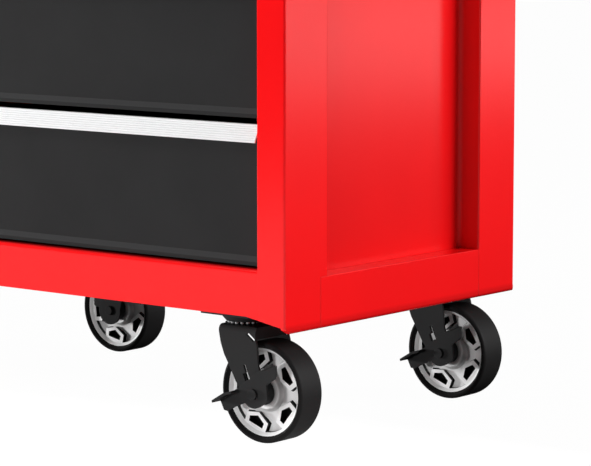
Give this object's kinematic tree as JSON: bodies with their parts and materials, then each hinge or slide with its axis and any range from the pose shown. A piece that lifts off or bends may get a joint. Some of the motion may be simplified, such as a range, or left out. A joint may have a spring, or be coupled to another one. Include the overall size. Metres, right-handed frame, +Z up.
{
  "type": "rolling tool cabinet",
  "caption": "Rolling steel tool cabinet with full-width ribbed drawer pulls, ball slides, a mat-lined top, a push handle, braked swivel casters and rigid casters.",
  "frame": {"origin": "on the floor, in the middle of the whole cabinet's outline with handle and lock", "axes": "+X towards the push handle, +Y to the back, +Z up; the drawers open towards -Y"},
  "size_m": [0.8246, 0.482, 0.9132],
  "materials": {
    "red_paint": "satin powder coat",
    "black_paint": "fine textured powder coat",
    "pull_aluminium": "ribbed anodised extrusion",
    "zinc_steel": "zinc plated",
    "mat_rubber": "ribbed",
    "handle_chrome": "plated",
    "caster_black": "black electrocoat",
    "hub_silver": "silver moulded",
    "tyre_black": "smooth tread"
  },
  "bodies": {
    "cabinet": {"right_front_post": "red_paint", "left_front_post": "red_paint", "rear_posts": "red_paint", "right_side_panel": "red_paint", "left_side_panel": "red_paint", "right_bottom_rail": "red_paint", "left_bottom_rail": "red_paint", "side_top_rails": "red_paint", "front_bottom_rail": "red_paint", "front_top_rail": "red_paint", "back_panel": "red_paint", "top_cap": "red_paint", "floor_pan": "black_paint", "handle_brackets": "black_paint", "handle_caps": "black_paint", "slide_rails": "zinc_steel", "kingpins": "zinc_steel", "caster_bolts": "zinc_steel", "top_mat": "mat_rubber", "push_handle": "handle_chrome", "lock_housing": "handle_chrome", "swivel_balls": "handle_chrome", "swivel_plates": "caster_black", "rigid_forks": "caster_black", "rigid_axles": "caster_black"},
    "drawer_unit_1": {"drawer_1": "black_paint", "drawer_pull_1": "pull_aluminium", "drawer_rails_1": "zinc_steel"},
    "slide_unit_1": {"slide_middle_1": "zinc_steel"},
    "drawer_unit_2": {"drawer_2": "black_paint", "drawer_pull_2": "pull_aluminium", "drawer_rails_2": "zinc_steel"},
    "slide_unit_2": {"slide_middle_2": "zinc_steel"},
    "drawer_unit_3": {"drawer_3": "black_paint", "drawer_pull_3": "pull_aluminium", "drawer_rails_3": "zinc_steel"},
    "slide_unit_3": {"slide_middle_3": "zinc_steel"},
    "drawer_unit_4": {"drawer_4": "black_paint", "drawer_pull_4": "pull_aluminium", "drawer_rails_4": "zinc_steel"},
    "slide_unit_4": {"slide_middle_4": "zinc_steel"},
    "drawer_unit_5": {"drawer_5": "black_paint", "drawer_pull_5": "pull_aluminium", "drawer_rails_5": "zinc_steel"},
    "slide_unit_5": {"slide_middle_5": "zinc_steel"},
    "fork_unit_front": {"swivel_fork_front": "caster_black", "swivel_axle_front": "caster_black"},
    "brake_unit_front": {"brake_pedal_front": "caster_black"},
    "fork_unit_rear": {"swivel_fork_rear": "caster_black", "swivel_axle_rear": "caster_black"},
    "brake_unit_rear": {"brake_pedal_rear": "caster_black"},
    "wheel_unit_front_right": {"hub_front_right": "hub_silver", "tyre_front_right": "tyre_black"},
    "wheel_unit_rear_right": {"hub_rear_right": "hub_silver", "tyre_rear_right": "tyre_black"},
    "wheel_unit_front_left": {"hub_front_left": "hub_silver", "tyre_front_left": "tyre_black"},
    "wheel_unit_rear_left": {"hub_rear_left": "hub_silver", "tyre_rear_left": "tyre_black"},
    "lock_unit": {"lock_cylinder": "handle_chrome"}
  },
  "joints": [
    {"name": "drawer_slide_1", "type": "slide", "parent": "cabinet", "child": "drawer_unit_1", "axis": [0, -1, 0], "range_m": [0, 0.4]},
    {"name": "middle_slide_1", "type": "slide", "parent": "cabinet", "child": "slide_unit_1", "axis": [0, -1, 0], "range_m": [0, 0.2]},
    {"name": "drawer_slide_2", "type": "slide", "parent": "cabinet", "child": "drawer_unit_2", "axis": [0, -1, 0], "range_m": [0, 0.4]},
    {"name": "middle_slide_2", "type": "slide", "parent": "cabinet", "child": "slide_unit_2", "axis": [0, -1, 0], "range_m": [0, 0.2]},
    {"name": "drawer_slide_3", "type": "slide", "parent": "cabinet", "child": "drawer_unit_3", "axis": [0, -1, 0], "range_m": [0, 0.4]},
    {"name": "middle_slide_3", "type": "slide", "parent": "cabinet", "child": "slide_unit_3", "axis": [0, -1, 0], "range_m": [0, 0.2]},
    {"name": "drawer_slide_4", "type": "slide", "parent": "cabinet", "child": "drawer_unit_4", "axis": [0, -1, 0], "range_m": [0, 0.4]},
    {"name": "middle_slide_4", "type": "slide", "parent": "cabinet", "child": "slide_unit_4", "axis": [0, -1, 0], "range_m": [0, 0.2]},
    {"name": "drawer_slide_5", "type": "slide", "parent": "cabinet", "child": "drawer_unit_5", "axis": [0, -1, 0], "range_m": [0, 0.4]},
    {"name": "middle_slide_5", "type": "slide", "parent": "cabinet", "child": "slide_unit_5", "axis": [0, -1, 0], "range_m": [0, 0.2]},
    {"name": "swivel_front", "type": "hinge", "parent": "cabinet", "child": "fork_unit_front", "pos_m": [0.23895, -0.1906, 0.1548], "axis": [0, 0, 1], "continuous": true},
    {"name": "brake_front", "type": "hinge", "parent": "fork_unit_front", "child": "brake_unit_front", "pos_m": [0.28155, -0.1906, 0.0625], "axis": [0, -1, 0], "range_deg": [0, 18]},
    {"name": "swivel_rear", "type": "hinge", "parent": "cabinet", "child": "fork_unit_rear", "pos_m": [0.23895, 0.1926, 0.1548], "axis": [0, 0, 1], "continuous": true},
    {"name": "brake_rear", "type": "hinge", "parent": "fork_unit_rear", "child": "brake_unit_rear", "pos_m": [0.28155, 0.1926, 0.0625], "axis": [0, -1, 0], "range_deg": [0, 18]},
    {"name": "wheel_front_right", "type": "hinge", "parent": "fork_unit_front", "child": "wheel_unit_front_right", "pos_m": [0.28155, -0.1906, 0.0625], "axis": [0, 1, 0], "continuous": true},
    {"name": "wheel_rear_right", "type": "hinge", "parent": "fork_unit_rear", "child": "wheel_unit_rear_right", "pos_m": [0.28155, 0.1926, 0.0625], "axis": [0, 1, 0], "continuous": true},
    {"name": "wheel_front_left", "type": "hinge", "parent": "cabinet", "child": "wheel_unit_front_left", "pos_m": [-0.31045, -0.1906, 0.0625], "axis": [0, 1, 0], "continuous": true},
    {"name": "wheel_rear_left", "type": "hinge", "parent": "cabinet", "child": "wheel_unit_rear_left", "pos_m": [-0.31045, 0.1926, 0.0625], "axis": [0, 1, 0], "continuous": true},
    {"name": "lock_turn", "type": "hinge", "parent": "cabinet", "child": "lock_unit", "pos_m": [-0.03575, -0.239, 0.8701], "axis": [0, 1, 0], "range_deg": [0, 90]}
  ],
  "couplings": [
    {"joint": "middle_slide_1", "follows": "drawer_slide_1", "ratio": 0.5},
    {"joint": "middle_slide_2", "follows": "drawer_slide_2", "ratio": 0.5},
    {"joint": "middle_slide_3", "follows": "drawer_slide_3", "ratio": 0.5},
    {"joint": "middle_slide_4", "follows": "drawer_slide_4", "ratio": 0.5},
    {"joint": "middle_slide_5", "follows": "drawer_slide_5", "ratio": 0.5}
  ]
}
